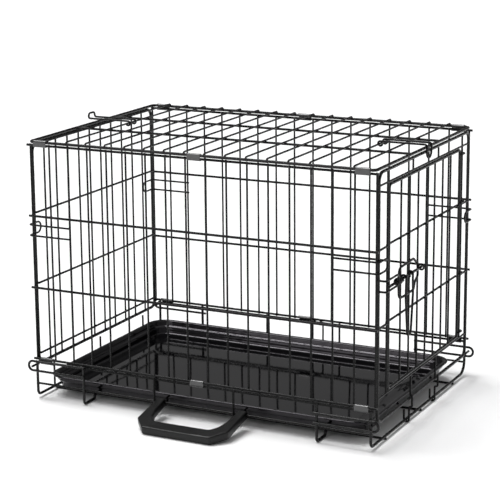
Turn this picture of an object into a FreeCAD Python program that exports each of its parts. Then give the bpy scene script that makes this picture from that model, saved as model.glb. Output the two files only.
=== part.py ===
import FreeCAD, Part
import Sketcher
import os
import math

V = FreeCAD.Vector
doc = FreeCAD.newDocument("wire_dog_crate")

# ---------------------------------------------------------------- driving sizes
# Frame: origin at the centre of the footprint on the floor, +Z up,
# +X towards the door end, +Y towards the back long side.
sheet = doc.addObject("Spreadsheet::Sheet", "Sizes")
ROW = [0]


class Q:
    """A length that knows its value and the spreadsheet expression behind it."""

    def __init__(self, val, txt):
        self.val = float(val)
        self.txt = txt

    def _two(self, other, op, sign):
        o = other if isinstance(other, Q) else Q(other, repr(float(other)))
        vals = {"+": self.val + o.val, "-": self.val - o.val, "*": self.val * o.val,
                "/": self.val / o.val if o.val else 0.0}
        return Q(vals[op], "(%s %s %s)" % (self.txt, op, o.txt))

    def __add__(self, o):
        return self._two(o, "+", 1)

    def __sub__(self, o):
        return self._two(o, "-", 1)

    def __mul__(self, o):
        return self._two(o, "*", 1)

    def __truediv__(self, o):
        return self._two(o, "/", 1)

    def __neg__(self):
        return Q(-self.val, "(0 - %s)" % self.txt)


def dim(alias, value):
    ROW[0] += 1
    sheet.set("A%d" % ROW[0], alias)
    sheet.set("B%d" % ROW[0], repr(float(value)))
    sheet.setAlias("B%d" % ROW[0], alias)
    return Q(value, "Sizes.%s" % alias)


def K(v):
    return Q(v, repr(float(v)))


end_x = dim("end_plane_x", 304.6)          # centre plane of both end panels
frame_r = dim("end_frame_radius", 2.6)
thin_r = dim("thin_wire_radius", 1.6)
rail_r = dim("rail_wire_radius", 2.0)
post_r = dim("side_post_radius", 1.8)
mid_r = dim("medium_wire_radius", 1.8)
pitch = dim("long_side_pitch", 35.8)       # upright spacing on the long sides
end_pitch = dim("end_side_pitch", 36.0)
side_y = dim("side_rail_y", 206.0)         # rails of the front and back panels
upright_y = side_y - rail_r - thin_r - 0.05
post_y = dim("end_post_y", 197.0)
z_top = dim("side_top_rail_z", 430.0)
z_up = dim("side_upper_rail_z", 311.5)
z_mid = dim("side_middle_rail_z", 190.0)
z_low = dim("side_bottom_rail_z", 67.6)
top_z = dim("top_frame_z", 435.3)
top_r = dim("top_frame_radius", 2.4)
top_x = dim("top_frame_x", 303.0)
cross_z = top_z + top_r + thin_r + 0.05
end_top_z = dim("end_frame_top_z", 429.6)
zl = dim("left_pivot_z", 57.0)             # fold axis of the left end
zr = dim("right_pivot_z", 41.5)            # fold axis of the right end
heavy_r = dim("base_wire_radius", 2.3)
base_x = dim("base_end_x", 300.0)
base_top_z = dim("base_top_rail_z", 62.2)
base_top_r = dim("base_top_rail_radius", 2.0)
leg_y = side_y + base_top_r + heavy_r + 0.05
base_mid_z = dim("base_mid_rail_z", 25.0)
floor_end_z = dim("base_end_rail_z", 6.2)
foot_x = dim("foot_wire_x", 210.0)
inner_left = dim("inner_cross_wire_left_x", -77.0)
inner_right = dim("inner_cross_wire_right_x", 66.0)
foot_run_z = dim("foot_wire_run_z", 8.8)
loop_y = leg_y + heavy_r + base_top_r + 0.05
catch_z = dim("latch_catch_z", 257.5)
door_front_y = dim("door_latch_stile_y", -155.9)
door_back_y = dim("door_hinge_stile_y", 155.4)
jamb_y = dim("hinge_jamb_y", 166.0)
door_low_z = dim("door_bottom_z", 84.3)
door_top_z = dim("door_top_z", 405.4)
latch_z = dim("latch_bolt_z", 252.0)
bolt_x = dim("latch_bolt_x", 312.9)
tray_z = dim("tray_bottom_z", 11.15)
tray_top = dim("tray_rim_z", 36.0)
tray_x0 = dim("tray_left_x", -297.0)
tray_x1 = dim("tray_right_x", 286.0)
tray_hy = dim("tray_half_width", 193.0)
tray_wall = dim("tray_wall", 2.5)
clip_len = dim("clip_length", 24.0)
corner_clip_x = dim("corner_clip_x", 283.0)

doc.recompute()
count = [0]
FINAL = []


def nm(base):
    count[0] += 1
    return "%s_%03d" % (base, count[0])


def bind(obj, prop, q):
    q = q if isinstance(q, Q) else K(q)
    obj.setExpression(prop, q.txt)


def place(obj, base, rot):
    base = [b if isinstance(b, Q) else K(b) for b in base]
    obj.Placement = FreeCAD.Placement(V(*[b.val for b in base]), rot)
    for axis, b in zip("xyz", base):
        if b.txt.startswith("Sizes") or "Sizes" in b.txt:
            obj.setExpression("Placement.Base.%s" % axis, b.txt)
    return obj


ROTS = {"x": FreeCAD.Rotation(V(0, 0, 1), V(1, 0, 0)),
        "y": FreeCAD.Rotation(V(0, 0, 1), V(0, 1, 0)),
        "z": FreeCAD.Rotation()}


def rod(base, axis, start, length, radius):
    """Straight wire: axis x, y or z, from start, running in the plus direction."""
    c = doc.addObject("Part::Cylinder", nm(base))
    length = length if isinstance(length, Q) else K(length)
    radius = radius if isinstance(radius, Q) else K(radius)
    c.Radius = radius.val
    c.Height = length.val
    bind(c, "Radius", radius)
    bind(c, "Height", length)
    return place(c, start, ROTS[axis])


def bent(base, pts, radius, bends, closed=False):
    """Wire bent at right angles: straight rods and elbow tori, fused to one solid."""
    P = [[c if isinstance(c, Q) else K(c) for c in p] for p in pts]
    n = len(P)
    segs = [(i, (i + 1) % n) for i in range(n if closed else n - 1)]
    dirs = []
    for a, b in segs:
        d = [P[b][k].val - P[a][k].val for k in range(3)]
        k = max(range(3), key=lambda j: abs(d[j]))
        assert all(abs(d[j]) < 1e-6 for j in range(3) if j != k), (base, a, b, d)
        dirs.append((k, 1 if d[k] > 0 else -1))
    if not isinstance(bends, (list, tuple)):
        bends = [bends] * n
    rb = [b if isinstance(b, Q) else K(b) for b in bends]
    items = []
    for s, (a, b) in enumerate(segs):
        k, sg = dirs[s]
        ca = rb[a] if (closed or a != 0) else K(0)
        cb = rb[b] if (closed or b != n - 1) else K(0)
        ln = (P[b][k] - P[a][k]) if sg > 0 else (P[a][k] - P[b][k])
        if ca.val:
            ln = ln - ca
        if cb.val:
            ln = ln - cb
        assert ln.val > -1e-6, (base, s, ln.val)
        if ln.val < 1e-4:
            continue
        start = list(P[a]) if sg > 0 else list(P[b])
        off = ca if sg > 0 else cb
        if off.val:
            start[k] = start[k] + off
        items.append(rod(base + "_rod", "xyz"[k], start, ln, radius))
    joints = range(n) if closed else range(1, n - 1)
    for j in joints:
        s0 = dirs[j - 1]
        s1 = dirs[j] if j < len(dirs) else dirs[0]
        u = [0, 0, 0]
        v = [0, 0, 0]
        u[s0[0]] = -s0[1]
        v[s1[0]] = s1[1]
        # centre of the elbow, then the two radial directions back to the wire
        cen = list(P[j])
        cen[s0[0]] = cen[s0[0]] + rb[j] * u[s0[0]]
        cen[s1[0]] = cen[s1[0]] + rb[j] * v[s1[0]]
        ex = V(*[-c for c in v])
        ey = V(*[-c for c in u])
        ez = ex.cross(ey)
        m = FreeCAD.Matrix(ex.x, ey.x, ez.x, 0, ex.y, ey.y, ez.y, 0, ex.z, ey.z, ez.z, 0, 0, 0, 0, 1)
        t = doc.addObject("Part::Torus", nm(base + "_elbow"))
        r = radius if isinstance(radius, Q) else K(radius)
        t.Radius1 = rb[j].val
        t.Radius2 = r.val
        t.Angle3 = 90
        bind(t, "Radius1", rb[j])
        bind(t, "Radius2", r)
        place(t, cen, FreeCAD.Placement(m).Rotation)
        items.append(t)
    if len(items) == 1:
        return items[0]
    f = doc.addObject("Part::MultiFuse", nm(base))
    f.Shapes = items
    return f


def node(name, items):
    """A named sub-part: one piece, or a group of identical or welded separate wires."""
    if len(items) == 1:
        o = doc.addObject("Part::Compound", name)
        o.Links = items
    else:
        o = doc.addObject("Part::Compound", name)
        o.Links = items
    o.Label = name
    FINAL.append(o)
    return o


# ---------------------------------------------------------------- long sides
def long_panel(side, sg):
    ups = []
    for i in range(16):
        ups.append(rod(side + "_up", "z", (pitch * (i - 7.5), upright_y * sg, z_low - 1.3),
                       z_top - z_low + 2.7, thin_r))
    for s in (-1, 1):
        ups.append(rod(side + "_post", "z", ((end_x - 0.7) * s, (side_y - rail_r - post_r - 0.05) * sg, z_low - 1.3),
                       z_top - z_low + 2.7, post_r))
    node(side + "_panel_uprights", ups)
    rails = []
    for z in (z_low, z_mid, z_up, z_top):
        rails.append(rod(side + "_rail", "x", (-(end_x + 3.6), side_y * sg, z), (end_x + 3.6) * 2, rail_r))
    node(side + "_panel_rails", rails)


long_panel("front", -1)
long_panel("back", 1)

# ---------------------------------------------------------------- top panel
node("top_frame", [bent("top_frame_wire", [(-top_x, -side_y, top_z), (top_x, -side_y, top_z),
                                          (top_x, side_y, top_z), (-top_x, side_y, top_z)], top_r, 8, closed=True)])
cross = []
for i in range(16):
    cross.append(rod("top_cross", "y", (pitch * (i - 7.5), -(side_y + 1.0), cross_z), (side_y + 1.0) * 2, thin_r))
node("top_cross_wires", cross)
node("top_long_wires", [rod("top_long", "x", (-(top_x - top_r - 0.05), y, cross_z - thin_r - rail_r - 0.05),
                            (top_x - top_r - 0.05) * 2, rail_r) for y in (-62.0, 62.0)])

# ---------------------------------------------------------------- base
base_wires = []
for s in (-1, 1):
    base_wires.append(bent("base_end", [(base_x * s, -leg_y, base_top_z + 1.7), (base_x * s, -leg_y, floor_end_z),
                                        (base_x * s, leg_y, floor_end_z), (base_x * s, leg_y, base_top_z + 1.7)],
                           heavy_r, [0, 8, 20, 0]))
node("base_end_rails", base_wires)
feet = []
for s in (-1, 1):
    x = foot_x * s
    feet.append(bent("foot", [(x, -leg_y, base_top_z + 1.7), (x, -leg_y, heavy_r), (x, -(leg_y - 33), heavy_r),
                              (x, -(leg_y - 33), foot_run_z), (x, leg_y - 33, foot_run_z), (x, leg_y - 33, heavy_r),
                              (x, leg_y, heavy_r), (x, leg_y, base_top_z + 1.7)],
                     heavy_r, [0, 5, 3.2, 3.2, 3.2, 3.2, 5, 0]))
node("base_foot_wires", feet)
cr = []
cross_leg_y = side_y + base_top_r + mid_r + 0.05
for x in (inner_left, inner_right):
    cr.append(bent("cross", [(x, -cross_leg_y, base_top_z + 1.7), (x, -cross_leg_y, foot_run_z),
                             (x, cross_leg_y, foot_run_z), (x, cross_leg_y, base_top_z + 1.7)],
                   mid_r, [0, 6, 6, 0]))
node("base_cross_wires", cr)
arch_x, arch_half, arch_r = dim("back_arch_x", 24.2), dim("back_arch_half_width", 10.0), dim("back_arch_wire_radius", 1.6)
arch_y = side_y + base_top_r + arch_r + 0.05
node("back_rail_arch", [bent("arch", [(arch_x - arch_half, arch_y, 20.0), (arch_x - arch_half, arch_y, 66.0),
                                      (arch_x + arch_half, arch_y, 66.0), (arch_x + arch_half, arch_y, 20.0)],
                             arch_r, [0, 9.9, 9.9, 0])])
fl = []
for y in (-152.0, 0.0, 152.0):
    fl.append(bent("floor_wire", [(base_x + 2.0, y, 2.0), (-(base_x + 4.6), y, 2.0), (-(base_x + 4.6), y, 50.0)],
                   mid_r, [0, 5, 0]))
node("base_floor_wires", fl)
br = []
for sg in (-1, 1):
    br.append(rod("base_top_rail", "x", (-(base_x + 1.5), side_y * sg, base_top_z), (base_x + 1.5) * 2, base_top_r))
    br.append(rod("base_mid_rail", "x", (-(base_x + 1.5), (side_y + 0.2) * sg, base_mid_z), (base_x + 1.5) * 2, mid_r))
node("base_side_rails", br)


def pivot_loops(name, s, z):
    loops = []
    for sg in (-1, 1):
        xi = (foot_x - 4.0) * s
        xo = (end_x + 9.4) * s
        loops.append(bent(name, [(xi, loop_y * sg, z + 8.0), (xo, loop_y * sg, z + 8.0),
                                 (xo, loop_y * sg, z - 8.0), (xi, loop_y * sg, z - 8.0)],
                          base_top_r, [0, 7.99, 7.99, 0]))
    node(name, loops)


pivot_loops("left_pivot_loops", -1, zl)
pivot_loops("right_pivot_loops", 1, zr)


# ---------------------------------------------------------------- corner lock loops
def lock_loops(name, sg):
    loops = []
    for s in (-1, 1):
        xi = (pitch * 6.5 - 0.6) * s
        xo = (end_x + frame_r + 2.0) * s
        yo = (upright_y + thin_r + 1.65) * sg
        yi = 172.0 * sg
        loops.append(bent(name, [(xi, yo, 296.0), (xo, yo, 296.0), (xo, yi, 296.0),
                                 (xo, yi, 278.0), (xo, yo, 278.0), (xi, yo, 278.0)],
                          1.6, [0, 4.5, 8.9, 8.9, 4.5, 0]))
    node(name, loops)


lock_loops("front_lock_loops", -1)
lock_loops("back_lock_loops", 1)


# ---------------------------------------------------------------- hinge clips
def stadium(base, x0, ln, y, za, zb, r):
    a = rod(base, "x", (x0, y, za), ln, r)
    b = rod(base, "x", (x0, y, zb), ln, r)
    c = doc.addObject("Part::Box", nm(base + "_web"))
    r = r if isinstance(r, Q) else K(r)
    c.Length = ln.val
    c.Width = 2 * r.val
    c.Height = abs(zb.val - za.val)
    bind(c, "Length", ln)
    bind(c, "Width", r * 2)
    bind(c, "Height", zb - za)
    place(c, (x0, y - r, za), FreeCAD.Rotation())
    f = doc.addObject("Part::MultiFuse", nm(base + "_slot"))
    f.Shapes = [a, b, c]
    return f


def clips(name, sg, za, zb):
    out = []
    for cx in (-corner_clip_x, K(0.0), corner_clip_x):
        x0 = cx - clip_len / 2
        outer = stadium(name, x0, clip_len, side_y * sg, za, zb, K(3.6))
        inner = stadium(name, x0 - 1, clip_len + 2, side_y * sg, za, zb, K(2.7))
        c = doc.addObject("Part::Cut", nm(name + "_clip"))
        c.Base = outer
        c.Tool = inner
        out.append(c)
    node(name, out)


clips("front_top_clips", -1, z_top, top_z)
clips("back_top_clips", 1, z_top, top_z)
clips("front_bottom_clips", -1, base_top_z, z_low)
clips("back_bottom_clips", 1, base_top_z, z_low)


# ---------------------------------------------------------------- end panels
def end_frame(name, s, z0):
    x = end_x * s
    node(name, [bent(name + "_wire", [(x, -post_y, z0), (x, post_y, z0), (x, post_y, end_top_z),
                                      (x, -post_y, end_top_z)], frame_r, [12, 12, 14, 14], closed=True)])


end_frame("left_end_frame", -1, zl)
end_frame("right_end_frame", 1, zr)


left_up = [rod("left_up", "z", (-end_x, end_pitch * (i - 4.5), zl + frame_r + 0.05), end_top_z - zl - frame_r * 2 - 0.1, thin_r)
           for i in range(10)]
node("left_end_uprights", left_up)
node("left_end_rails", [rod("left_rail", "y", (-(end_x - thin_r - mid_r - 0.05), -(post_y - 1.5), z), (post_y - 1.5) * 2, mid_r)
                        for z in (K(75.0), K(195.5), K(315.5))])


# the pins stand out of the bottom wire of each end panel and carry its fold
def pivot_pins(name, s, z):
    node(name, [rod(name + "_pin", "y", (end_x * s, (post_y + frame_r + 0.05) if sg > 0 else -(post_y + 22.0), z),
                    K(22.0) - frame_r - 0.05, 1.9) for sg in (-1, 1)])


pivot_pins("left_pivot_pins", -1, zl)
pivot_pins("right_pivot_pins", 1, zr)

# right end: door opening
z_head = dim("door_head_rail_z", 410.0)
z_sill = dim("door_sill_rail_z", 79.6)
span = post_y - frame_r - 0.05
node("right_end_rails", [rod("head", "y", (end_x, -span, z_head), span * 2, 1.6),
                         rod("sill", "y", (end_x, -span, z_sill), span * 2, 1.6)])
jr = dim("jamb_radius", 1.8)
node("door_jambs", [rod("jamb", "z", (end_x, y, z_sill + 1.65), z_head - z_sill - 3.3, jr) for y in (K(-161.5), jamb_y)])
shorts = []
for y in (-161.5, -57.5, 54.0, 166.0):
    shorts.append(rod("upper_short", "z", (end_x, y, z_head + 1.65), end_top_z - z_head - 1.65 - frame_r - 0.05, thin_r))
for z in (z_up, z_mid):
    shorts.append(rod("side_short", "y", (end_x, -(post_y - frame_r - 0.05), z), post_y - frame_r - 0.05 - 163.35, mid_r))
    shorts.append(rod("side_short", "y", (end_x, jamb_y + jr + 0.05, z), post_y - frame_r - 0.05 - jamb_y - jr - 0.05, mid_r))
for y in (-57.5, 54.0):
    shorts.append(rod("lower_short", "z", (end_x, y, zr + frame_r + 0.05), z_sill - zr - frame_r - 1.7, thin_r))
node("right_end_short_wires", shorts)

# latch catch: a loop standing off the front post
cx = bolt_x + 4.5
node("latch_catch", [bent("catch", [(end_x + frame_r + 0.05, -post_y, catch_z + 8.5), (cx, -post_y, catch_z + 8.5),
                                    (cx, -146.0, catch_z + 8.5), (cx, -146.0, catch_z - 8.5),
                                    (cx, -post_y, catch_z - 8.5), (end_x + frame_r + 0.05, -post_y, catch_z - 8.5)],
                          1.7, [0, 4, 8, 8, 4, 0])])

# ---------------------------------------------------------------- door
door_r = dim("door_frame_radius", 2.4)
node("door_frame", [bent("door_frame_wire", [(end_x, door_front_y, door_low_z), (end_x, door_back_y, door_low_z),
                                            (end_x, door_back_y, door_top_z), (end_x, door_front_y, door_top_z)],
                         door_r, 6, closed=True)])
node("door_uprights", [rod("door_up", "z", (end_x, 36.4 * i - 106.5, door_low_z + door_r + 0.05),
                           door_top_z - door_low_z - door_r * 2 - 0.1, thin_r) for i in range(7)])
node("door_rails", [rod("door_rail", "y", (end_x - thin_r - mid_r - 0.05, door_front_y + 1.0, z),
                        door_back_y - door_front_y - 2.0, mid_r) for z in (z_up, z_mid)])
ring_r = dim("hinge_ring_radius", 4.1)
rings = []
for z in (92.0, 194.5, 316.5, 398.0):
    rings.append(bent("hinge_ring", [(end_x + ring_r, door_back_y - 2.0, z), (end_x + ring_r, jamb_y + ring_r, z),
                                     (end_x - ring_r, jamb_y + ring_r, z), (end_x - ring_r, jamb_y - ring_r, z),
                                     (end_x, jamb_y - ring_r, z)], 1.6, [0, ring_r, ring_r, ring_r, 0]))
node("door_hinge_rings", rings)
guide_r = dim("latch_frame_radius", 2.0)
gx = end_x + thin_r + guide_r + 0.05
node("latch_guide_frame", [bent("guide", [(gx, -125.45, latch_z - 34.0), (gx, -42.5, latch_z - 34.0),
                                          (gx, -42.5, latch_z + 18.0), (gx, -125.45, latch_z + 18.0)],
                                guide_r, 18, closed=True)])
gr = []
for y in (-129.1, -38.85):
    t = doc.addObject("Part::Torus", nm("guide_ring"))
    t.Radius1 = 4.6
    t.Radius2 = 1.6
    place(t, (bolt_x, y, latch_z), ROTS["y"])
    gr.append(t)
node("latch_guide_rings", gr)
node("latch_bolt", [rod("bolt", "y", (bolt_x, -176.0, latch_z), K(141.0), 2.2)])
lc = 4.2
lx = bolt_x + lc
la, lb = -114.0, -86.0
lever_pts = [(bolt_x, la, latch_z - lc), (bolt_x - lc, la, latch_z - lc), (bolt_x - lc, la, latch_z + lc),
             (lx, la, latch_z + lc), (lx, la, 158.0), (lx, lb, 158.0), (lx, lb, latch_z + lc),
             (bolt_x - lc, lb, latch_z + lc), (bolt_x - lc, lb, latch_z - lc), (bolt_x, lb, latch_z - lc)]
node("latch_lever", [bent("lever", lever_pts, mid_r, [0, lc, lc, lc, 13.9, 13.9, lc, lc, lc, 0])])


# ---------------------------------------------------------------- tray stops on the floor rail
def tray_stop(name, y):
    xa = base_x - 4.3
    xb = base_x + 4.3
    xc = end_x + 4.7
    node(name, [bent(name + "_wire", [(xa, y, 21.0), (xa, y, floor_end_z - 4.3), (xb, y, floor_end_z - 4.3),
                                      (xb, y, 27.0), (xc, y, 27.0), (xc, y, 48.0)],
                     1.7, [0, 4.3, 4.3, 2.49, 2.49, 0])])


tray_stop("tray_stop_front", -62.0)
tray_stop("tray_stop_rear", 54.0)


# ---------------------------------------------------------------- top locks
def top_lock(name, s, yc, up):
    x0 = pitch * 6.5
    ya, yb = yc - 10.0, yc + 10.0
    c = 3.6
    lz = cross_z + c
    xo = end_x + 6.4
    zt = lz + 8.4 if up else lz - 22.0
    b = 3.2 if up else 4.0
    bb = 5.1 if up else 9.9
    pts = [((x0 + c) * s, ya, cross_z), ((x0 + c) * s, ya, cross_z - c), ((x0 - c) * s, ya, cross_z - c),
           ((x0 - c) * s, ya, lz), (xo * s, ya, lz), (xo * s, ya, zt), (xo * s, yb, zt), (xo * s, yb, lz),
           ((x0 - c) * s, yb, lz), ((x0 - c) * s, yb, cross_z - c), ((x0 + c) * s, yb, cross_z - c),
           ((x0 + c) * s, yb, cross_z)]
    node(name, [bent(name + "_wire", pts, 1.7, [0, c, c, c, b, bb, bb, b, c, c, c, 0])])


top_lock("top_lock_left", -1, 2.0, True)
top_lock("top_lock_right", 1, -6.0, False)


# ---------------------------------------------------------------- tray
def origin_plane(body, role):
    for f in body.Origin.OriginFeatures:
        if f.Role == role:
            return f
    raise RuntimeError(role)


def attach(body, sk, role, off):
    sk.AttachmentSupport = [(origin_plane(body, role), "")]
    sk.MapMode = "FlatFace"
    sk.AttachmentOffset = FreeCAD.Placement(V(0, 0, off.val if isinstance(off, Q) else off), FreeCAD.Rotation())
    if isinstance(off, Q):
        sk.setExpression("AttachmentOffset.Base.z", off.txt)


def rr_sketch(body, name, x0, x1, y0, y1, r, zoff):
    """Rounded rectangle on the XY plane at height zoff, tied to the sheet."""
    sk = body.newObject("Sketcher::SketchObject", name)
    attach(body, sk, "XY_Plane", zoff)
    a, b, c, d, q = x0.val, x1.val, y0.val, y1.val, r.val
    G = []
    G.append(sk.addGeometry(Part.LineSegment(V(a + q, c, 0), V(b - q, c, 0)), False))
    G.append(sk.addGeometry(Part.ArcOfCircle(Part.Circle(V(b - q, c + q, 0), V(0, 0, 1), q), -math.pi / 2, 0), False))
    G.append(sk.addGeometry(Part.LineSegment(V(b, c + q, 0), V(b, d - q, 0)), False))
    G.append(sk.addGeometry(Part.ArcOfCircle(Part.Circle(V(b - q, d - q, 0), V(0, 0, 1), q), 0, math.pi / 2), False))
    G.append(sk.addGeometry(Part.LineSegment(V(b - q, d, 0), V(a + q, d, 0)), False))
    G.append(sk.addGeometry(Part.ArcOfCircle(Part.Circle(V(a + q, d - q, 0), V(0, 0, 1), q), math.pi / 2, math.pi), False))
    G.append(sk.addGeometry(Part.LineSegment(V(a, d - q, 0), V(a, c + q, 0)), False))
    G.append(sk.addGeometry(Part.ArcOfCircle(Part.Circle(V(a + q, c + q, 0), V(0, 0, 1), q), math.pi, 1.5 * math.pi), False))
    C = Sketcher.Constraint
    # each join: line end to arc start, arc end to line start
    for i in range(8):
        j = (i + 1) % 8
        sk.addConstraint(C("Tangent", i, 2, j, 1))
    sk.addConstraint(C("Horizontal", 0))
    sk.addConstraint(C("Horizontal", 4))
    sk.addConstraint(C("Vertical", 2))
    sk.addConstraint(C("Vertical", 6))
    for i in (3, 5, 7):
        sk.addConstraint(C("Equal", 1, i))

    def named(con, q, key):
        k = sk.addConstraint(con)
        sk.renameConstraint(k, key)
        sk.setExpression("Constraints.%s" % key, q.txt)
    named(C("Radius", 1, q), r, "corner")
    named(C("DistanceX", -1, 1, 2, 1, b), x1, "right")
    named(C("DistanceX", 6, 1, -1, 1, -a), -x0, "left")
    named(C("DistanceY", -1, 1, 4, 1, d), y1, "rear")
    named(C("DistanceY", 0, 1, -1, 1, -c), -y0, "front")
    return sk


tray = doc.addObject("PartDesign::Body", "tray")
tray.Label = "tray"
FINAL.append(tray)


def tray_step(kind, name, inset, corner, zoff, depth, midplane=False):
    sk = rr_sketch(tray, name + "_sketch", tray_x0 + inset, tray_x1 - inset, -(tray_hy - inset), tray_hy - inset,
                   corner, zoff)
    f = tray.newObject("PartDesign::" + kind, name)
    f.Profile = sk
    f.Length = depth.val
    f.setExpression("Length", depth.txt)
    return f


step_z = tray_z + (tray_top - tray_z) * 0.5
corner = dim("tray_corner_radius", 34.0)
tray_step("Pad", "tray_lower", K(13.0), corner - 8.0, tray_z, step_z - tray_z + 1.0)
tray_step("Pad", "tray_upper", K(6.5), corner - 4.0, step_z, tray_top - step_z)
tray_step("Pad", "tray_rim", K(0.0), corner, tray_top - 2.5, K(2.5))
doc.recompute()
vol0 = tray.Shape.Volume
tray_step("Pocket", "tray_well_upper", K(6.5) + tray_wall, corner - 6.5, tray_top, tray_top - step_z - tray_wall)
doc.recompute()
vol1 = tray.Shape.Volume
assert vol1 < vol0 - 1000, "upper well"
tray_step("Pocket", "tray_well_lower", K(13.0) + tray_wall, corner - 10.5, tray_top, tray_top - tray_z - tray_wall)
doc.recompute()
assert tray.Shape.Volume < vol1 - 1000, "lower well"

# ---------------------------------------------------------------- carry handle
grip = doc.addObject("PartDesign::Body", "carry_handle")
grip.Label = "carry_handle"
FINAL.append(grip)
reach = dim("handle_reach", 90.5)
hw = dim("handle_half_width", 80.5)
handle_cx = dim("handle_centre_x", 7.0)
thick = dim("handle_thickness", 14.0)


def poly(sk, pts):
    n0 = sk.GeometryCount
    n = len(pts)
    for i in range(n):
        a, b = pts[i], pts[(i + 1) % n]
        sk.addGeometry(Part.LineSegment(V(a[0].val, a[1].val, 0), V(b[0].val, b[1].val, 0)), False)
    for i in range(n):
        sk.addConstraint(Sketcher.Constraint("Coincident", n0 + i, 2, n0 + (i + 1) % n, 1))
    for i, (px, py) in enumerate(pts):
        for tag, q, kind in (("x", px, "DistanceX"), ("y", py, "DistanceY")):
            key = "p%d%s%d" % (n0, tag, i)
            if abs(q.val) < 1e-9:
                continue
            if q.val > 0:
                k = sk.addConstraint(Sketcher.Constraint(kind, -1, 1, n0 + i, 1, q.val))
                t = q.txt
            else:
                k = sk.addConstraint(Sketcher.Constraint(kind, n0 + i, 1, -1, 1, -q.val))
                t = (-q).txt
            sk.renameConstraint(k, key)
            sk.setExpression("Constraints.%s" % key, t)


hs = grip.newObject("Sketcher::SketchObject", "handle_outline")
attach(grip, hs, "XY_Plane", -(thick / 2))
leg_in = hw - 13.8
outline = [(hw, K(-1.0)), (hw, -(reach - 25.0)), (hw - 20.5, -reach), (-(hw - 20.5), -reach), (-hw, -(reach - 25.0)),
           (-hw, K(-1.0)), (-leg_in, K(-1.0)), (-(leg_in - 3.0), K(-38.0)), (K(-49.0), -(reach - 23.0)),
           (K(49.0), -(reach - 23.0)), (leg_in - 3.0, K(-38.0)), (leg_in, K(-1.0))]
poly(hs, outline)
hp = grip.newObject("PartDesign::Pad", "handle_body")
hp.Profile = hs
hp.Length = thick.val
hp.setExpression("Length", thick.txt)
doc.recompute()
for s in (-1, 1):
    es = grip.newObject("Sketcher::SketchObject", "eye_sketch_%s" % ("right" if s > 0 else "left"))
    attach(grip, es, "YZ_Plane", leg_in if s > 0 else -hw)
    es.addGeometry(Part.Circle(V(0, 0, 0), V(0, 0, 1), 5.6), False)
    es.addConstraint(Sketcher.Constraint("Coincident", 0, 3, -1, 1))
    es.addConstraint(Sketcher.Constraint("Radius", 0, 5.6))
    ep = grip.newObject("PartDesign::Pad", "eye_%s" % ("right" if s > 0 else "left"))
    ep.Profile = es
    ep.Length = (hw - leg_in).val
    ep.setExpression("Length", (hw - leg_in).txt)
doc.recompute()
vol2 = grip.Shape.Volume
bs = grip.newObject("Sketcher::SketchObject", "bore_sketch")
attach(grip, bs, "YZ_Plane", hw + 1.0)
bs.addGeometry(Part.Circle(V(0, 0, 0), V(0, 0, 1), 2.0), False)
bs.addConstraint(Sketcher.Constraint("Coincident", 0, 3, -1, 1))
bs.addConstraint(Sketcher.Constraint("Radius", 0, 2.0))
bp = grip.newObject("PartDesign::Pocket", "eye_bore")
bp.Profile = bs
bp.Length = 2 * hw.val + 4
bp.setExpression("Length", (hw * 2 + 4.0).txt)
doc.recompute()
assert grip.Shape.Volume < vol2 - 50, "eye bore"
grip.Placement = FreeCAD.Placement(V(handle_cx.val, -(side_y + 0.2).val, base_mid_z.val), FreeCAD.Rotation(V(1, 0, 0), 11.3))
grip.setExpression("Placement.Base.x", handle_cx.txt)
grip.setExpression("Placement.Base.y", (-(side_y + 0.2)).txt)
grip.setExpression("Placement.Base.z", base_mid_z.txt)

# ---------------------------------------------------------------- check and write
doc.recompute()
bad = [o.Name for o in doc.Objects if "Invalid" in o.State or "Error" in o.State]
if bad:
    raise RuntimeError("failed objects: %s" % bad[:10])
os.makedirs("parts", exist_ok=True)
for o in FINAL:
    if o.Shape.isNull() or not o.Shape.isValid():
        raise RuntimeError("bad shape: %s" % o.Label)
for o in FINAL:
    print("%-24s solids %2d  volume %10.1f  z %7.2f..%7.2f" % (o.Label, len(o.Shape.Solids), o.Shape.Volume,
                                                              o.Shape.BoundBox.ZMin, o.Shape.BoundBox.ZMax))
    o.Shape.exportStep("parts/%s.step" % o.Label)
print("nodes", len(FINAL))
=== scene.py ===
import math
import random

import bpy
import bmesh
from mathutils import Matrix, Vector


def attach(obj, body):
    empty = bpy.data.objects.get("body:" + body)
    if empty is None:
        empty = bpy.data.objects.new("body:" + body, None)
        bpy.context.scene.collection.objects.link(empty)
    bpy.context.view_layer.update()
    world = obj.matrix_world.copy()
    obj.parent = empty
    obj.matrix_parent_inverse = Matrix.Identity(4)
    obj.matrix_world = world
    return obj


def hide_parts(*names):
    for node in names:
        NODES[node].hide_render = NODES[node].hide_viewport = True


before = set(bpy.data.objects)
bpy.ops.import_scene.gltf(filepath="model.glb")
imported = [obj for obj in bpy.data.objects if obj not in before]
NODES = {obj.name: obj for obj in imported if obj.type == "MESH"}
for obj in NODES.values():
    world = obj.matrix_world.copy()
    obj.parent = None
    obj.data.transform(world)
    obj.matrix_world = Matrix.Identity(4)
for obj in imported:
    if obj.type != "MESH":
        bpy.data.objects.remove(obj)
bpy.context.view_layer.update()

MM = 0.001
random.seed(7)


# ------------------------------------------------------------------ materials
def new_mat(name):
    m = bpy.data.materials.new(name)
    m.use_nodes = True
    nt = m.node_tree
    b = nt.nodes.get("Principled BSDF")
    return m, nt, b


def noise(nt, scale, detail=4.0, rough=0.5, coord=None):
    n = nt.nodes.new("ShaderNodeTexNoise")
    n.inputs["Scale"].default_value = scale
    n.inputs["Detail"].default_value = detail
    n.inputs["Roughness"].default_value = rough
    if coord is not None:
        nt.links.new(coord, n.inputs["Vector"])
    return n


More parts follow.
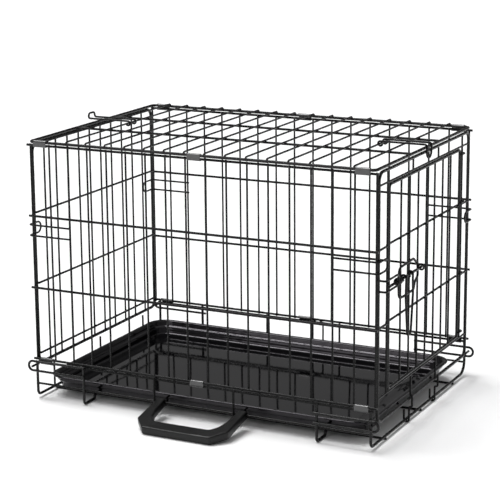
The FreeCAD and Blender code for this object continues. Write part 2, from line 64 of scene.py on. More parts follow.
def ramp(nt, src, lo, hi, c0, c1):
    r = nt.nodes.new("ShaderNodeValToRGB")
    r.color_ramp.elements[0].position = lo
    r.color_ramp.elements[0].color = (*c0, 1)
    r.color_ramp.elements[1].position = hi
    r.color_ramp.elements[1].color = (*c1, 1)
    nt.links.new(src, r.inputs["Fac"])
    return r


def maprange(nt, src, a, b, c, d):
    r = nt.nodes.new("ShaderNodeMapRange")
    r.inputs["From Min"].default_value = a
    r.inputs["From Max"].default_value = b
    r.inputs["To Min"].default_value = c
    r.inputs["To Max"].default_value = d
    nt.links.new(src, r.inputs["Value"])
    return r


def bump(nt, height, strength, dist, normal=None):
    b = nt.nodes.new("ShaderNodeBump")
    b.inputs["Strength"].default_value = strength
    b.inputs["Distance"].default_value = dist
    nt.links.new(height, b.inputs["Height"])
    if normal is not None:
        nt.links.new(normal, b.inputs["Normal"])
    return b


def coated(name, c0, c1, r0, r1, spec=0.5, coat=0.0, orange=900.0, bump_s=0.25, bump_d=0.00008):
    """Black powder coat: faint orange peel, slow change of tone and gloss, a few dull rub marks."""
    m, nt, b = new_mat(name)
    tc = nt.nodes.new("ShaderNodeTexCoord").outputs["Object"]
    slow = noise(nt, 18.0, 3.0, 0.55, tc)
    mid = noise(nt, 160.0, 5.0, 0.6, tc)
    col = ramp(nt, slow.outputs["Fac"], 0.30, 0.72, c0, c1)
    nt.links.new(col.outputs["Color"], b.inputs["Base Color"])
    rg = maprange(nt, mid.outputs["Fac"], 0.3, 0.75, r0, r1)
    nt.links.new(rg.outputs["Result"], b.inputs["Roughness"])
    peel = noise(nt, orange, 2.0, 0.5, tc)
    dust = noise(nt, orange * 3.1, 1.0, 0.5, tc)
    b1 = bump(nt, peel.outputs["Fac"], bump_s, bump_d)
    b2 = bump(nt, dust.outputs["Fac"], bump_s * 0.5, bump_d * 0.3, b1.outputs["Normal"])
    nt.links.new(b2.outputs["Normal"], b.inputs["Normal"])
    b.inputs["Specular IOR Level"].default_value = spec
    b.inputs["Coat Weight"].default_value = coat
    b.inputs["Coat Roughness"].default_value = 0.2
    return m


wire_mat = coated("black_powder_coat", (0.0007, 0.0007, 0.0008), (0.0018, 0.0018, 0.0020), 0.20, 0.36, spec=0.18)
heavy_mat = coated("black_powder_coat_heavy", (0.0009, 0.0009, 0.0010), (0.0024, 0.0024, 0.0026), 0.20, 0.34, spec=0.26)
clip_mat = coated("black_coated_sheet", (0.016, 0.016, 0.0165), (0.034, 0.034, 0.035), 0.12, 0.24, spec=0.85,
                  orange=700.0, bump_s=0.3)

# glossy moulded plastic of the tray
tray_mat, nt, b = new_mat("glossy_black_tray_plastic")
tc = nt.nodes.new("ShaderNodeTexCoord").outputs["Object"]
slow = noise(nt, 6.0, 4.0, 0.6, tc)
fine = noise(nt, 420.0, 3.0, 0.6, tc)
col = ramp(nt, slow.outputs["Fac"], 0.3, 0.75, (0.0006, 0.0006, 0.0008), (0.0014, 0.0014, 0.0018))
nt.links.new(col.outputs["Color"], b.inputs["Base Color"])
rg = maprange(nt, noise(nt, 35.0, 6.0, 0.65, tc).outputs["Fac"], 0.3, 0.75, 0.035, 0.09)
nt.links.new(rg.outputs["Result"], b.inputs["Roughness"])
wav = noise(nt, 9.0, 2.0, 0.4, tc)
b1 = bump(nt, wav.outputs["Fac"], 0.30, 0.0010)
b2 = bump(nt, fine.outputs["Fac"], 0.18, 0.00006, b1.outputs["Normal"])
nt.links.new(b2.outputs["Normal"], b.inputs["Normal"])
b.inputs["Specular IOR Level"].default_value = 0.40
b.inputs["Specular Tint"].default_value = (0.97, 0.92, 1.0, 1)

# satin moulded plastic of the handle
grip_mat, nt, b = new_mat("satin_black_handle_plastic")
tc = nt.nodes.new("ShaderNodeTexCoord").outputs["Object"]
slow = noise(nt, 14.0, 4.0, 0.6, tc)
col = ramp(nt, slow.outputs["Fac"], 0.3, 0.72, (0.0012, 0.0012, 0.0013), (0.0028, 0.0028, 0.0030))
nt.links.new(col.outputs["Color"], b.inputs["Base Color"])
rg = maprange(nt, noise(nt, 240.0, 5.0, 0.6, tc).outputs["Fac"], 0.3, 0.75, 0.28, 0.42)
nt.links.new(rg.outputs["Result"], b.inputs["Roughness"])
vor = nt.nodes.new("ShaderNodeTexVoronoi")
vor.inputs["Scale"].default_value = 1400.0
nt.links.new(tc, vor.inputs["Vector"])
b1 = bump(nt, vor.outputs["Distance"], 0.3, 0.00009)
b2 = bump(nt, noise(nt, 60.0, 3.0, 0.5, tc).outputs["Fac"], 0.12, 0.0003, b1.outputs["Normal"])
nt.links.new(b2.outputs["Normal"], b.inputs["Normal"])
b.inputs["Specular IOR Level"].default_value = 0.30


# ------------------------------------------------------------------ mesh helpers
def finish_mesh(name, bm, mat, body, replaced=(), angle=38.0):
    bmesh.ops.recalc_face_normals(bm, faces=bm.faces)
    me = bpy.data.meshes.new(name)
    bm.to_mesh(me)
    bm.free()
    me.materials.append(mat)
    for p in me.polygons:
        p.use_smooth = True
    o = bpy.data.objects.new(name, me)
    bpy.context.scene.collection.objects.link(o)
    me.set_sharp_from_angle(angle=math.radians(angle))
    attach(o, body)
    if replaced:
        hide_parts(*replaced)
    return o


def arc_path(pts, bends, closed=False, steps=7):
    """Round the corners of a polyline; every corner gets its own radius."""
    P = [Vector(p) for p in pts]
    n = len(P)
    if not isinstance(bends, (list, tuple)):
        bends = [bends] * n
    out = []
    for i in range(n):
        if not closed and i in (0, n - 1):
            out.append(P[i])
            continue
        a, p, c = P[i - 1], P[i], P[(i + 1) % n]
        r = bends[i]
        u = (a - p)
        v = (c - p)
        lu, lv = u.length, v.length
        u.normalize()
        v.normalize()
        ang = u.angle(v)
        if r < 1e-6 or ang > math.pi - 1e-4:
            out.append(p)
            continue
        t = min(r / math.tan(ang / 2), lu * 0.499, lv * 0.499)
        rr = t * math.tan(ang / 2)
        s, e = p + u * t, p + v * t
        bis = (u + v).normalized()
        cen = p + bis * math.sqrt(t * t + rr * rr)
        ds, de = s - cen, e - cen
        tot = ds.angle(de)
        axis = ds.cross(de).normalized()
        k = max(2, int(steps * tot / (math.pi / 2)) + 1)
        for j in range(k + 1):
            out.append(cen + Matrix.Rotation(tot * j / k, 3, axis) @ ds)
    clean = [out[0]]
    for q in out[1:]:
        if (q - clean[-1]).length > 1e-4:
            clean.append(q)
    if closed and (clean[0] - clean[-1]).length < 1e-4:
        clean.pop()
    return clean


def tube(bm, path, r, closed=False, seg=12, dome=True, squash=None):
    """Swept round wire, with soft sheared ends."""
    P = [Vector(p) for p in path]
    n = len(P)
    T = []
    for i in range(n):
        if closed:
            t = P[(i + 1) % n] - P[i - 1]
        elif i == 0:
            t = P[1] - P[0]
        elif i == n - 1:
            t = P[-1] - P[-2]
        else:
            t = (P[i + 1] - P[i]).normalized() + (P[i] - P[i - 1]).normalized()
        T.append(t.normalized())
    ref = Vector((0, 0, 1)) if abs(T[0].z) < 0.9 else Vector((1, 0, 0))
    N = [(ref - T[0] * ref.dot(T[0])).normalized()]
    for i in range(1, n):
        q = T[i - 1].rotation_difference(T[i])
        m = q @ N[-1]
        N.append((m - T[i] * m.dot(T[i])).normalized())
    twist = 0.0
    if closed:
        q = T[-1].rotation_difference(T[0])
        m = q @ N[-1]
        twist = m.angle(N[0])
        if m.cross(N[0]).dot(T[0]) < 0:
            twist = -twist
    rings = []
    stations = [(i, 0.0, 1.0) for i in range(n)]
    if not closed and dome:
        e = 0.32 * r
        stations = [(0, -0.0, 0.72), (0, e * 0.35, 0.92), (0, e, 1.0)] + [(i, 0.0, 1.0) for i in range(1, n - 1)] + \
                   [(n - 1, -e, 1.0), (n - 1, -e * 0.35, 0.92), (n - 1, 0.0, 0.72)]
    for (i, off, k) in stations:
        b = T[i].cross(N[i])
        c = P[i] + T[i] * off
        tw = twist * i / n if closed else 0.0
        ring = []
        for s in range(seg):
            a = 2 * math.pi * s / seg + tw
            ring.append(bm.verts.new((c + (N[i] * math.cos(a) + b * math.sin(a)) * r * k) * MM))
        rings.append(ring)
    m = len(rings)
    for i in range(m if closed else m - 1):
        A, B = rings[i], rings[(i + 1) % m]
        for s in range(seg):
            bm.faces.new((A[s], A[(s + 1) % seg], B[(s + 1) % seg], B[s]))
    if not closed:
        bm.faces.new(list(reversed(rings[0])))
        bm.faces.new(rings[-1])


def nugget(bm, c, sx, sy, sz, seg=8, rings=5):
    """Small fused weld bead, a little irregular."""
    c = Vector(c)
    k = 1.0 + random.uniform(-0.10, 0.10)
    rows = []
    for i in range(1, rings):
        th = math.pi * i / rings
        row = []
        for s in range(seg):
            a = 2 * math.pi * s / seg
            w = k * (1 + random.uniform(-0.05, 0.05))
            row.append(bm.verts.new((c + Vector((sx * math.sin(th) * math.cos(a) * w, sy * math.sin(th) * math.sin(a) * w,
                                                 sz * math.cos(th) * w))) * MM))
        rows.append(row)
    top = bm.verts.new((c + Vector((0, 0, sz))) * MM)
    bot = bm.verts.new((c - Vector((0, 0, sz))) * MM)
    for s in range(seg):
        bm.faces.new((top, rows[0][s], rows[0][(s + 1) % seg]))
        bm.faces.new((bot, rows[-1][(s + 1) % seg], rows[-1][s]))
    for i in range(len(rows) - 1):
        for s in range(seg):
            bm.faces.new((rows[i][s], rows[i + 1][s], rows[i + 1][(s + 1) % seg], rows[i][(s + 1) % seg]))


# ------------------------------------------------------------------ sizes repeated from the design
END_X, FR, TR, RR, PR, MR = 304.6, 2.6, 1.6, 2.0, 1.8, 1.8
PITCH = 35.8
SY, UY, PY = 206.0, 202.35, 197.0
EY_POST = SY - RR - PR - 0.05
ZT, ZU, ZM, ZB = 430.0, 311.5, 190.0, 67.6
TZ, TX, TPR, CZ = 435.3, 303.0, 2.4, 439.35
ETZ, ZL, ZR = 429.6, 57.0, 41.5
BTZ, BTR, LEGY, LOOPY = 62.2, 2.0, 210.35, 214.7
HEAD, SILL = 410.0, 79.6
DLO, DHI, DFY, DBY, DR = 84.3, 405.4, -155.9, 155.4, 2.4
BX, BZ, CATZ = 312.9, 252.0, 257.5
XS = [PITCH * (i - 7.5) for i in range(16)]
EY = [36.0 * (i - 4.5) for i in range(10)]
DY = [36.4 * i - 106.5 for i in range(7)]

# ------------------------------------------------------------------ CAD wires keep their shape, get the coating
HEAVY = ("left_end_frame", "right_end_frame", "door_frame", "top_frame", "base_end_rails", "base_foot_wires",
         "left_pivot_loops", "right_pivot_loops", "left_pivot_pins", "right_pivot_pins")
for n, o in NODES.items():
    if o.type != "MESH":
        continue
    o.data.materials.clear()
    o.data.materials.append(heavy_mat if n in HEAVY else wire_mat)

# ------------------------------------------------------------------ weld beads
bm = bmesh.new()
for sg in (-1, 1):
    yc = (SY - RR) * sg
    for x in XS:
        for z in (ZB, ZM, ZU, ZT):
            nugget(bm, (x, yc, z), 2.0, 1.0, 2.2)
    for s in (-1, 1):
        for z in (ZB, ZM, ZU, ZT):
            nugget(bm, ((END_X - 0.7) * s, yc, z), 2.1, 1.05, 2.3)
        for z in (296.0, 278.0):
            for x in (PITCH * 6.5 * s, PITCH * 7.5 * s, (END_X - 0.7) * s):
                nugget(bm, (x, (UY + TR) * sg, z), 1.8, 0.9, 1.8)
finish_mesh("side_panel_welds", bm, wire_mat, "root")
bm = bmesh.new()
for x in XS:
    for sg in (-1, 1):
        nugget(bm, (x, SY * sg, TZ + TPR), 1.9, 2.1, 0.9)
        nugget(bm, (x, 62 * sg, CZ - TR), 1.8, 1.9, 0.9)
for s in (-1, 1):
    for sg in (-1, 1):
        nugget(bm, ((TX - TPR) * s, 62 * sg, TZ + 0.4), 1.0, 2.3, 2.1)
finish_mesh("top_panel_welds", bm, wire_mat, "root")
bm = bmesh.new()
for sg in (-1, 1):
    for s in (-1, 1):
        for x in (300.0, 210.0):
            nugget(bm, (x * s, (SY + BTR) * sg, BTZ), 2.4, 1.0, 2.2)
            nugget(bm, (x * s, (SY + BTR) * sg, 25.0), 2.4, 1.0, 2.1)
    for x in (-77.0, 66.0):
        nugget(bm, (x, (SY + BTR) * sg, BTZ), 2.0, 1.0, 2.1)
        nugget(bm, (x, (SY + BTR) * sg, 25.0), 2.0, 1.0, 2.0)
    for (s, zp) in ((-1, ZL), (1, ZR)):
        for dz in (-8, 8):
            nugget(bm, (210 * s, (LEGY + 2.3) * sg, zp + dz), 2.3, 0.9, 2.1)
            nugget(bm, (300 * s, (LEGY + 2.3) * sg, zp + dz), 2.3, 0.9, 2.1)
for y in (-152.0, 0.0, 152.0):
    for x in (-300.0, 300.0):
        nugget(bm, (x, y, 3.85), 2.2, 1.9, 0.9)
for x in (14.2, 34.2):
    nugget(bm, (x, 208.0, BTZ), 2.0, 0.9, 2.0)
    nugget(bm, (x, 208.0, 25.0), 2.0, 0.9, 1.9)
finish_mesh("base_welds", bm, wire_mat, "root")
bm = bmesh.new()
for y in EY:
    for z in (75.0, 195.5, 315.5):
        nugget(bm, (-END_X + TR, y, z), 0.9, 1.8, 2.0)
    nugget(bm, (-END_X, y, ZL + FR), 2.0, 2.0, 0.9)
    nugget(bm, (-END_X, y, ETZ - FR), 2.0, 2.0, 0.9)
for sg in (-1, 1):
    for z in (75.0, 195.5, 315.5):
        nugget(bm, (-(END_X - 3.0), (PY - 2.0) * sg, z), 1.8, 1.4, 2.0)
    nugget(bm, (-END_X, (PY + FR) * sg, ZL), 2.5, 0.9, 2.5)
finish_mesh("left_end_welds", bm, wire_mat, "left_end")
bm = bmesh.new()
for sg in (-1, 1):
    for z in (HEAD, SILL):
        nugget(bm, (END_X, (PY - FR) * sg, z), 2.0, 0.9, 2.0)
    for z in (ZU, ZM):
        nugget(bm, (END_X, (PY - FR) * sg, z), 2.1, 0.9, 2.1)
    nugget(bm, (END_X, (PY + FR) * sg, ZR), 2.5, 0.9, 2.5)
for y in (-161.5, -57.5, 54.0, 166.0):
    nugget(bm, (END_X, y, HEAD + 1.6), 1.9, 1.9, 0.8)
    nugget(bm, (END_X, y, ETZ - FR), 1.9, 1.9, 0.9)
for y in (-161.5, 166.0):
    nugget(bm, (END_X, y, HEAD - 1.6), 2.0, 2.0, 0.8)
    nugget(bm, (END_X, y, SILL + 1.6), 2.0, 2.0, 0.8)
    for z in (ZU, ZM):
        nugget(bm, (END_X, y + (-1.8 if y < 0 else 1.8), z), 1.9, 0.8, 2.0)
for y in (-57.5, 54.0):
    nugget(bm, (END_X, y, SILL - 1.6), 1.8, 1.8, 0.8)
    nugget(bm, (END_X, y, ZR + FR), 1.9, 1.9, 0.8)
for dz in (-8.5, 8.5):
    nugget(bm, (END_X + FR, -PY, CATZ + dz), 0.9, 2.0, 2.0)
finish_mesh("right_end_welds", bm, wire_mat, "right_end")
bm = bmesh.new()
for y in DY:
    nugget(bm, (END_X, y, DLO + DR), 1.9, 1.9, 0.8)
    nugget(bm, (END_X, y, DHI - DR), 1.9, 1.9, 0.8)
    for z in (ZU, ZM):
        nugget(bm, (END_X - TR, y, z), 0.9, 1.8, 2.0)
for z in (ZU, ZM):
    nugget(bm, (END_X - 2.4, DFY + 1.6, z), 1.6, 1.3, 1.9)
    nugget(bm, (END_X - 2.4, DBY - 1.6, z), 1.6, 1.3, 1.9)
for z in (92.0, 194.5, 316.5, 398.0):
    nugget(bm, (END_X + 2.4, DBY, z), 0.9, 1.9, 1.8)
finish_mesh("door_welds", bm, wire_mat, "door")

# ------------------------------------------------------------------ top cross wires with their ends turned down
bm = bmesh.new()
for x in XS:
    y = SY + 1.0
    tube(bm, arc_path([(x, -y, CZ - 1.6), (x, -(y - 2.6), CZ), (x, y - 2.6, CZ), (x, y, CZ - 1.6)], [0, 3, 3, 0], steps=4), TR)
finish_mesh("top_cross_wires_bent", bm, wire_mat, "root", replaced=("top_cross_wires",))


# ------------------------------------------------------------------ folded hinge clips
def clip(bm, cx, ln, y, za, zb, ra, rb, side):
    """One band of sheet bent round two wires; a small rolled edge runs along the outer face."""
    t = 0.8
    steps = 44
    outer, inner = [], []
    for i in range(steps + 1):
        ang = math.pi * 0.03 + math.pi * 1.94 * i / steps
        ca, sa = math.cos(ang) * -side, math.sin(ang)
        rad = rb if sa >= 0 else ra
        cz = zb if sa >= 0 else za
        if abs(sa) < 0.12:
            rad = (ra + rb) / 2
        outer.append((y + rad * ca, cz + rad * sa))
        inner.append((y + (rad - t) * ca, cz + (rad - t) * sa))
    # crimp: the flat stretch between the wires is pressed in a little on the outer face
    xs = [(cx - ln / 2, 0.3, 0.0), (cx - ln / 2 + 0.4, 0.0, 0.0), (cx - ln / 2 + 2.2, 0.0, 0.0), (cx - ln / 2 + 3.0, 0.0, 1.0),
          (cx + ln / 2 - 3.0, 0.0, 1.0), (cx + ln / 2 - 2.2, 0.0, 0.0), (cx + ln / 2 - 0.4, 0.0, 0.0), (cx + ln / 2, 0.3, 0.0)]
    loops = []
    zm = (za + zb) / 2
    for (x, ins, press) in xs:
        ring = []
        for (py, pz), (qy, qz) in zip(outer, inner):
            k = press * 0.55 * max(0.0, 1 - abs(pz - zm) / 2.2)
            dy = -k * side if (py - y) * side > 0 else 0.0
            ring.append(bm.verts.new(Vector((x, py + (qy - py) * ins + dy, pz + (qz - pz) * ins)) * MM))
        for (py, pz), (qy, qz) in reversed(list(zip(outer, inner))):
            k = press * 0.55 * max(0.0, 1 - abs(pz - zm) / 2.2)
            dy = -k * side if (py - y) * side > 0 else 0.0
            ring.append(bm.verts.new(Vector((x, qy + (py - qy) * ins + dy, qz + (pz - qz) * ins)) * MM))
        loops.append(ring)
    n = len(loops[0])
    for k in range(len(loops) - 1):
        for i in range(n):
            bm.faces.new((loops[k][i], loops[k][(i + 1) % n], loops[k + 1][(i + 1) % n], loops[k + 1][i]))
    m = n // 2
    for ring in (loops[0], loops[-1]):
        for i in range(m - 1):
            bm.faces.new((ring[i], ring[i + 1], ring[n - 2 - i], ring[n - 1 - i]))


for side, sg in (("front", -1), ("back", 1)):
    for lvl, za, zb, ra, rb in (("top", ZT, TZ, 3.1, 3.5), ("bottom", BTZ, ZB, 3.3, 3.3)):
        bm = bmesh.new()
        for cx in (-283.0, 0.0, 283.0):
            clip(bm, cx, 24.0, SY * sg, za, zb, ra, rb, sg)
        finish_mesh("%s_%s_hinge_clips" % (side, lvl), bm, clip_mat, "root", replaced=("%s_%s_clips" % (side, lvl),),
                    angle=50)

# ------------------------------------------------------------------ latch
GX = END_X + TR + 2.0 + 0.05
bm = bmesh.new()
lens = [(GX, -123.6, 240.0), (GX, -121.5, 268.0), (GX, -61.0, 270.0), (GX, -51.5, 263.5), (GX, -42.8, 257.0),
        (GX, -42.0, 238.0), (GX, -55.0, 231.0), (GX, -60.0, 219.5), (GX, -100.0, 219.0), (GX, -121.5, 220.0)]
tube(bm, arc_path(lens, [30, 8, 8, 6, 5, 6, 6, 7, 10, 8], closed=True), 1.95, closed=True, seg=14)
for y, zs in ((DY[0], (219.0, 268.6)), (DY[1], (219.3, 269.7))):
    for z in zs:
        nugget(bm, (GX - 2.0, y, z), 0.9, 1.8, 2.0)
finish_mesh("latch_lens_frame", bm, wire_mat, "door", replaced=("latch_guide_frame",))

bm = bmesh.new()
# coil guide on the catch side, a single eye on the other
coil = []
turns = 4.0
for i in range(int(turns * 20) + 1):
    a = 2 * math.pi * i / 20.0
    coil.append((BX + 4.45 * math.cos(a), -129.1 - 3.35 * a / (2 * math.pi), BZ + 4.45 * math.sin(a)))
tube(bm, coil, 1.55, seg=10)
eye = [(BX + 4.5 * math.cos(2 * math.pi * i / 24), -38.85, BZ + 4.5 * math.sin(2 * math.pi * i / 24)) for i in range(24)]
tube(bm, eye, 1.6, closed=True, seg=10)
finish_mesh("latch_bolt_guides", bm, wire_mat, "door", replaced=("latch_guide_rings",))

bm = bmesh.new()
lc = 4.2
lx = BX + lc
la, lb = -114.0, -86.0
mid = (la + lb) / 2
lever = [(BX + 0.6, la, BZ - lc), (BX - lc, la, BZ - lc), (BX - lc, la, BZ + lc), (lx, la, BZ + lc),
         (lx, la, BZ - 8), (lx, la - 1.5, 222.0), (lx, mid - 9.0, 172.0), (lx, mid - 7.0, 158.0), (lx, mid + 7.0, 158.0),
         (lx, mid + 9.0, 172.0), (lx, lb + 1.5, 222.0), (lx, lb, BZ - 8), (lx, lb, BZ + lc), (BX - lc, lb, BZ + lc),
         (BX - lc, lb, BZ - lc), (BX + 0.6, lb, BZ - lc)]
tube(bm, arc_path(lever, [0, 4.1, 4.1, 4.1, 25, 25, 25, 6.5, 6.5, 25, 25, 25, 4.1, 4.1, 4.1, 0]), 1.8, seg=14)
finish_mesh("latch_hanging_lever", bm, wire_mat, "lever", replaced=("latch_lever",))

bm = bmesh.new()
tube(bm, [(BX, -176.0, BZ), (BX, -175.0, BZ), (BX, -60, BZ), (BX, -35.0, BZ)], 2.2, seg=16)
# pressed ears that keep the lever's curls in place on the bolt
for y in (la - 3.4, lb + 3.4):
    nugget(bm, (BX, y, BZ), 2.75, 1.2, 2.75, seg=12, rings=7)
finish_mesh("latch_sliding_bolt", bm, heavy_mat, "bolt", replaced=("latch_bolt",))


# ------------------------------------------------------------------ tray
def rr_ring(bm, x0, x1, hy, r, z, seg=12):
    pts = []
    for (cx, cy, a0) in ((x1 - r, -hy + r, -90), (x1 - r, hy - r, 0), (x0 + r, hy - r, 90), (x0 + r, -hy + r, 180)):
        for i in range(seg + 1):
            a = math.radians(a0 + 90.0 * i / seg)
            pts.append(Vector((cx + r * math.cos(a), cy + r * math.sin(a), z)))
    out = []
    for c in range(4):
        arc = pts[c * (seg + 1):(c + 1) * (seg + 1)]
        nxt = pts[((c + 1) % 4) * (seg + 1)]
        out += arc
        k = 6 if c in (0, 2) else 10
        for j in range(1, k):
            out.append(arc[-1].lerp(nxt, j / k))
    return [bm.verts.new(p * MM) for p in out]


bm = bmesh.new()
X0, X1, HY, CR = -297.0, 286.0, 193.0, 34.0
prof = [  # inset, z : outside bottom, out and up, over the rim, down the inside, to the floor
    (17.0, 11.15), (14.6, 11.6), (13.3, 13.2), (12.6, 16.0), (11.4, 22.2), (10.9, 23.6), (9.6, 24.6), (7.9, 25.2), (7.0, 26.4),
    (6.2, 30.0), (5.6, 32.8), (4.9, 33.6), (3.0, 33.6), (1.0, 33.3), (0.2, 33.6), (0.0, 34.4), (0.3, 35.4), (1.4, 35.95), (3.4, 36.0),
    (5.6, 35.9), (7.0, 35.3), (7.9, 34.0), (8.7, 30.0), (9.5, 27.4), (10.3, 26.6), (12.6, 26.2), (13.8, 25.2),
    (14.9, 20.0), (15.6, 16.2), (16.6, 14.4), (18.6, 13.75), (22.0, 13.65), (38.0, 13.65), (41.0, 13.9), (44.0, 14.35), (48.0, 14.4),
    (120.0, 14.4)]
rings = []
for (ins, z) in prof:
    rings.append(rr_ring(bm, X0 + ins, X1 - ins, HY - ins, max(CR - ins * 0.62, 10.0), z))
for a, c in zip(rings, rings[1:]):
    n = len(a)
    for i in range(n):
        bm.faces.new((a[i], a[(i + 1) % n], c[(i + 1) % n], c[i]))
bm.faces.new(list(reversed(rings[0])))
bm.faces.new(rings[-1])
finish_mesh("moulded_tray", bm, tray_mat, "tray", replaced=("tray",), angle=55)

# ------------------------------------------------------------------ carry handle
REACH, HW, HCX = 90.5, 80.5, 7.0
LI = HW - 13.8


def rounded(pts, rads, seg=7):
    out = []
    for i, (p, r) in enumerate(zip(pts, rads)):
        p = Vector(p)
        if i in (0, len(pts) - 1) or r <= 0:
            out.append(p)
            continue
        a, c = Vector(pts[i - 1]), Vector(pts[i + 1])
        u, v = (a - p), (c - p)
        lu, lv = u.length, v.length
        u.normalize()
        v.normalize()
        t = min(r / math.tan(u.angle(v) / 2), lu * 0.48, lv * 0.48)
        s, e = p + u * t, p + v * t
        for j in range(seg + 1):
            k = j / seg
            out.append((s.lerp(p, k)).lerp(p.lerp(e, k), k))
    return out


o_pts = [(HW, 0.5), (HW, -20.0), (HW, -45.0), (HW, -(REACH - 25)), (HW - 20.5, -REACH), (20.0, -REACH), (0.0, -REACH),
         (-20.0, -REACH), (-(HW - 20.5), -REACH), (-HW, -(REACH - 25)), (-HW, -45.0), (-HW, -20.0), (-HW, 0.5)]
i_pts = [(LI, 0.5), (LI - 1.2, -14.0), (LI - 3.0, -38.0), (LI - 8.0, -55.0), (49.0, -(REACH - 23)), (18.0, -(REACH - 23)),
         (0.0, -(REACH - 23)), (-18.0, -(REACH - 23)), (-49.0, -(REACH - 23)), (-(LI - 8.0), -55.0), (-(LI - 3.0), -38.0),
         (-(LI - 1.2), -14.0), (-LI, 0.5)]
O = rounded(o_pts, [0, 1, 1, 5, 6, 1, 1, 1, 6, 5, 1, 1, 0])
I = rounded(i_pts, [0, 8, 12, 12, 13, 1, 1, 1, 13, 12, 12, 8, 0])
prof = [(0.0, -4.6), (0.0, 4.6), (0.35, 5.8), (1.3, 6.75), (2.8, 7.0)]   # in from the face, height
bm = bmesh.new()
secs = []
for p, q in zip(O, I):
    d = (q - p)
    w = d.length
    d.normalize()
    ring = []
    side_o = [(ins, z) for ins, z in prof]
    up_o = [(p + d * ins, z) for ins, z in side_o]
    up_i = [(q - d * ins, z) for ins, z in reversed(side_o[1:])]
    # grip channel: the upper and lower faces are dished a little between the edges
    c1, c2 = p.lerp(q, 0.30), p.lerp(q, 0.70)
    lo_i = [(q - d * ins, -z) for ins, z in side_o[1:]]
    lo_o = [(p + d * ins, -z) for ins, z in reversed(side_o[1:])]
    seq = up_o[1:] + [(c1, 6.7), (c2, 6.7)] + up_i + lo_i + [(c2, -6.7), (c1, -6.7)] + lo_o
    for (xy, z) in seq:
        ring.append(bm.verts.new(Vector((xy.x, xy.y, z)) * MM))
    secs.append(ring)
for a, c in zip(secs, secs[1:]):
    n = len(a)
    for i in range(n):
        bm.faces.new((a[i], a[(i + 1) % n], c[(i + 1) % n], c[i]))
bm.faces.new(list(reversed(secs[0])))
bm.faces.new(secs[-1])
# finger ribs under the bar
for k in range(-5, 6):
    x = k * 8.5
    v, w = [], []
    for (dx, dy) in ((-1.7, -85.5), (1.7, -85.5), (1.7, -72.5), (-1.7, -72.5)):
        v.append(bm.verts.new(Vector((x + dx, dy, -6.4)) * MM))
        w.append(bm.verts.new(Vector((x + dx * 0.45, dy + (0.9 if dy < -80 else -0.9), -7.0)) * MM))
    for i in range(4):
        bm.faces.new((v[i], v[(i + 1) % 4], w[(i + 1) % 4], w[i]))
    bm.faces.new(w)
    bm.faces.new(list(reversed(v)))
# eyes round the base rail
for s in (-1, 1):
    x0, x1 = LI * s, HW * s
    seg = 28
    cols = []
    for (x, ro) in ((x0, 4.9), (x0 + 0.7 * s, 5.6), (x1 - 0.7 * s, 5.6), (x1, 4.9)):
        cols.append([bm.verts.new(Vector((x, ro * math.cos(2 * math.pi * i / seg), ro * math.sin(2 * math.pi * i / seg))) * MM)
                     for i in range(seg)])
    cin = []
    for x in (x0, x1):
        cin.append([bm.verts.new(Vector((x, 2.1 * math.cos(2 * math.pi * i / seg), 2.1 * math.sin(2 * math.pi * i / seg))) * MM)
                    for i in range(seg)])
    for a, c in zip(cols, cols[1:]):
        for i in range(seg):
            bm.faces.new((a[i], a[(i + 1) % seg], c[(i + 1) % seg], c[i]))
    for i in range(seg):
        j = (i + 1) % seg
        bm.faces.new((cin[0][i], cin[0][j], cin[1][j], cin[1][i]))
        bm.faces.new((cols[0][i], cols[0][j], cin[0][j], cin[0][i]))
        bm.faces.new((cols[-1][i], cols[-1][j], cin[1][j], cin[1][i]))
M = Matrix.Translation(Vector((HCX, -(SY + 0.2), 25.0)) * MM) @ Matrix.Rotation(math.radians(11.3), 4, "X")
bmesh.ops.transform(bm, matrix=M, verts=bm.verts)
finish_mesh("moulded_carry_handle", bm, grip_mat, "handle", replaced=("carry_handle",), angle=42)

# ------------------------------------------------------------------ stage
bm = bmesh.new()
S = 9.0
vs = [bm.verts.new(p) for p in ((-S, -S, 0), (S, -S, 0), (S, S, 0), (-S, S, 0))]
bm.faces.new(vs)
me = bpy.data.meshes.new("studio_floor")
bm.to_mesh(me)
bm.free()
floor = bpy.data.objects.new("studio_floor", me)
bpy.context.scene.collection.objects.link(floor)
fm, nt, b = new_mat("pale_floor")
tc = nt.nodes.new("ShaderNodeTexCoord").outputs["Object"]
fc = ramp(nt, noise(nt, 1.5, 3.0, 0.5, tc).outputs["Fac"], 0.3, 0.7, (0.90, 0.90, 0.905), (0.93, 0.93, 0.93))
nt.links.new(fc.outputs["Color"], b.inputs["Base Color"])
b.inputs["Roughness"].default_value = 0.6
b.inputs["Specular IOR Level"].default_value = 0.2
me.materials.append(fm)

world = bpy.data.worlds.new("studio")
bpy.context.scene.world = world
world.use_nodes = True
wt = world.node_tree
bg = wt.nodes["Background"]
bg.inputs["Color"].default_value = (1.0, 1.0, 1.0, 1)
wc = wt.nodes.new("ShaderNodeTexCoord").outputs["Generated"]
sep = wt.nodes.new("ShaderNodeSeparateXYZ")
wt.links.new(wc, sep.inputs[0])
fr = maprange(wt, sep.outputs["Y"], -0.8, 0.9, 0.38, 0.23)
tp = maprange(wt, sep.outputs["Z"], 0.55, 0.98, 0.0, 0.34)
ad = wt.nodes.new("ShaderNodeMath")
ad.operation = "ADD"
wt.links.new(fr.outputs["Result"], ad.inputs[0])
wt.links.new(tp.outputs["Result"], ad.inputs[1])
lp = wt.nodes.new("ShaderNodeLightPath")
mx = wt.nodes.new("ShaderNodeMath")
mx.operation = "MAXIMUM"
wt.links.new(ad.outputs[0], mx.inputs[0])
wt.links.new(lp.outputs["Is Camera Ray"], mx.inputs[1])
wt.links.new(mx.outputs[0], bg.inputs["Strength"])


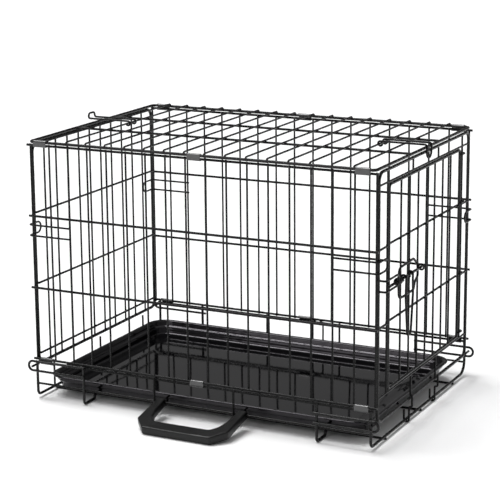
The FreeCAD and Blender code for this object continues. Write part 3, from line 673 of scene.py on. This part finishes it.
def area_light(name, loc, target, size, power, size_y=None):
    l = bpy.data.lights.new(name, "AREA")
    l.shape = "RECTANGLE"
    l.size = size
    l.size_y = size_y or size
    l.energy = power
    o = bpy.data.objects.new(name, l)
    bpy.context.scene.collection.objects.link(o)
    o.location = loc
    d = Vector(target) - Vector(loc)
    o.rotation_euler = d.to_track_quat("-Z", "Y").to_euler()
    return o


sun = bpy.data.lights.new("key", "SUN")
sun.energy = 3.05
sun.angle = math.radians(34)
so = bpy.data.objects.new("key", sun)
bpy.context.scene.collection.objects.link(so)
so.location = (-1.9, 0.7, 2.3)
so.rotation_euler = (Vector((0, 0, 0)) - Vector((-0.75, 0.05, 2.1))).to_track_quat("-Z", "Y").to_euler()
area_light("fill", (-0.9, -2.6, 1.2), (0, 0, 0.2), 1.2, 8)

# ------------------------------------------------------------------ camera
cam_data = bpy.data.cameras.new("photo_camera")
cam = bpy.data.objects.new("photo_camera", cam_data)
bpy.context.scene.collection.objects.link(cam)
bpy.context.scene.camera = cam
F_PX, CX, CY = 1754.298, 212.199, 213.357
yaw, pitch, roll = math.radians(27.63), math.radians(12.484), math.radians(-0.725)
back = Vector((math.sin(yaw) * math.cos(pitch), -math.cos(yaw) * math.cos(pitch), math.sin(pitch)))
right = Vector((math.cos(yaw), math.sin(yaw), 0))
up = right.cross(-back)
r2 = right * math.cos(roll) + up * math.sin(roll)
u2 = -right * math.sin(roll) + up * math.cos(roll)
m4 = Matrix(((r2.x, u2.x, back.x, 1262.73 * MM), (r2.y, u2.y, back.y, -2559.787 * MM), (r2.z, u2.z, back.z, 934.304 * MM),
             (0, 0, 0, 1)))
cam.matrix_world = m4
cam_data.sensor_fit = "HORIZONTAL"
cam_data.sensor_width = 36.0
cam_data.lens = F_PX / 500.0 * 36.0
cam_data.shift_x = (250.0 - CX) / 500.0
cam_data.shift_y = -(250.0 - CY) / 500.0
cam_data.clip_end = 50.0

bpy.context.scene.view_settings.view_transform = "Standard"
bpy.context.scene.view_settings.look = "None"
